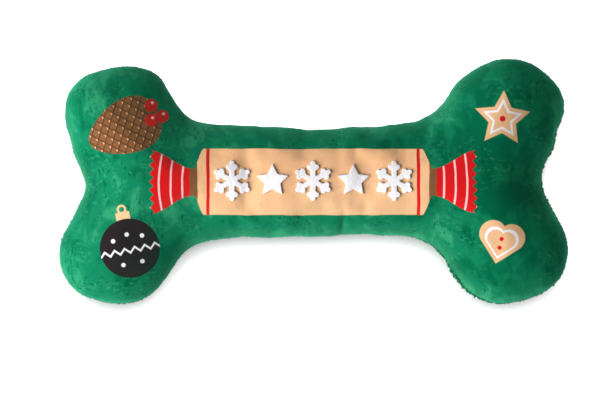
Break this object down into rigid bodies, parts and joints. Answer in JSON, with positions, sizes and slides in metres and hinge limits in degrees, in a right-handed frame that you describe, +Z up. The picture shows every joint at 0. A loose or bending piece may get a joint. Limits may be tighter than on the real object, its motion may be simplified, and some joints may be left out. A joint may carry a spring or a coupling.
{
  "type": "plush bone dog toy",
  "caption": "Stuffed plush dog toy in the shape of a bone, with a printed front panel, raised felt motifs and a pressed squeaker in each end.",
  "frame": {"origin": "on the floor under the middle of the toy, which lies on its back", "axes": "+X along the bone, towards the right end in the picture; +Y across it, towards the picture's top edge; +Z up, towards the viewer, out of the printed front"},
  "size_m": [0.4579, 0.2213, 0.0849],
  "materials": {
    "printed_plush": "short-pile plush with a printed picture, matt",
    "plain_plush": "short-pile plush, plain green, matt",
    "sewing_thread": "spun polyester thread, dark green",
    "white_felt": "needled felt, white, matt",
    "stuffing_fibre": "loose polyester fibre",
    "pouch_cloth": "thin bonded cloth, off-white",
    "soft_bulb_plastic": "blow-moulded soft plastic, translucent white",
    "squeaker_plastic": "moulded white plastic",
    "reed_film": "thin clear-grey plastic strip"
  },
  "bodies": {
    "toy_body": {"front_panel": "printed_plush", "back_panel": "plain_plush", "seam_needle_thread": "sewing_thread", "seam_bobbin_thread": "sewing_thread", "closing_thread": "sewing_thread", "snowflake_left": "white_felt", "star_left": "white_felt", "snowflake_middle": "white_felt", "star_right": "white_felt", "snowflake_right": "white_felt", "fill_shaft": "stuffing_fibre", "fill_upper_left_lobe": "stuffing_fibre", "fill_lower_left_lobe": "stuffing_fibre", "fill_upper_right_lobe": "stuffing_fibre", "fill_lower_right_lobe": "stuffing_fibre", "left_pouch": "pouch_cloth", "left_bulb": "soft_bulb_plastic", "right_pouch": "pouch_cloth", "right_bulb": "soft_bulb_plastic"},
    "left_reed_unit": {"left_reed_holder": "squeaker_plastic", "left_reed_block": "squeaker_plastic"},
    "left_reed_strip": {"left_reed": "reed_film"},
    "right_reed_unit": {"right_reed_holder": "squeaker_plastic", "right_reed_block": "squeaker_plastic"},
    "right_reed_strip": {"right_reed": "reed_film"}
  },
  "joints": [
    {"name": "left_squeaker_press", "type": "slide", "parent": "toy_body", "child": "left_reed_unit", "axis": [0, 0, -1], "range_m": [0, 0.008], "stiffness_N_per_m": 600, "deforming": ["left_bulb", "left_pouch"]},
    {"name": "left_reed_bend", "type": "hinge", "parent": "left_reed_unit", "child": "left_reed_strip", "pos_m": [-0.1501, 0.00045, 0.0538], "axis": [1, 0, 0], "range_deg": [0, 6], "stiffness_Nm_per_rad": 0.00005},
    {"name": "right_squeaker_press", "type": "slide", "parent": "toy_body", "child": "right_reed_unit", "axis": [0, 0, -1], "range_m": [0, 0.008], "stiffness_N_per_m": 600, "deforming": ["right_bulb", "right_pouch"]},
    {"name": "right_reed_bend", "type": "hinge", "parent": "right_reed_unit", "child": "right_reed_strip", "pos_m": [0.1514, 0.00045, 0.0538], "axis": [1, 0, 0], "range_deg": [0, 6], "stiffness_Nm_per_rad": 0.00005}
  ]
}
